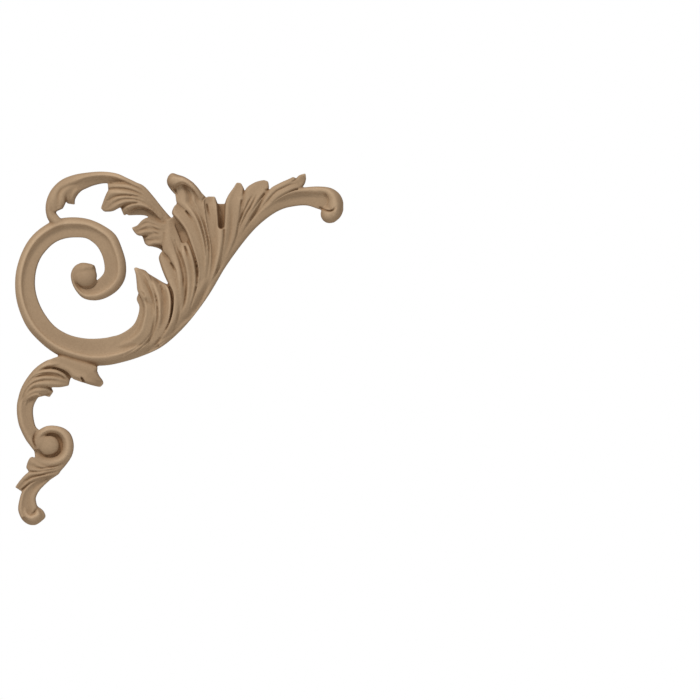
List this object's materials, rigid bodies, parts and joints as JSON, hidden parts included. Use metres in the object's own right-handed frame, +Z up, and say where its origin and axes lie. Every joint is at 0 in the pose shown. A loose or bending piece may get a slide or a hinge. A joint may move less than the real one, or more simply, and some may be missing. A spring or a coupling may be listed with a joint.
{
  "type": "scroll spandrel",
  "caption": "Moulded corner ornament: a coiled scroll with leaves and a long arm above, a leafy stem and small volute below, and a flat back.",
  "frame": {"origin": "on the flat back, behind the inner leaf where the leaves spring from the scroll", "axes": "+X right towards the end of the long arm, +Z up, the carving faces -Y and the flat back faces +Y"},
  "size_m": [0.2049, 0.0151, 0.2206],
  "materials": {
    "composition": "matte"
  },
  "bodies": {
    "root": {"spandrel": "composition"}
  },
  "joints": []
}
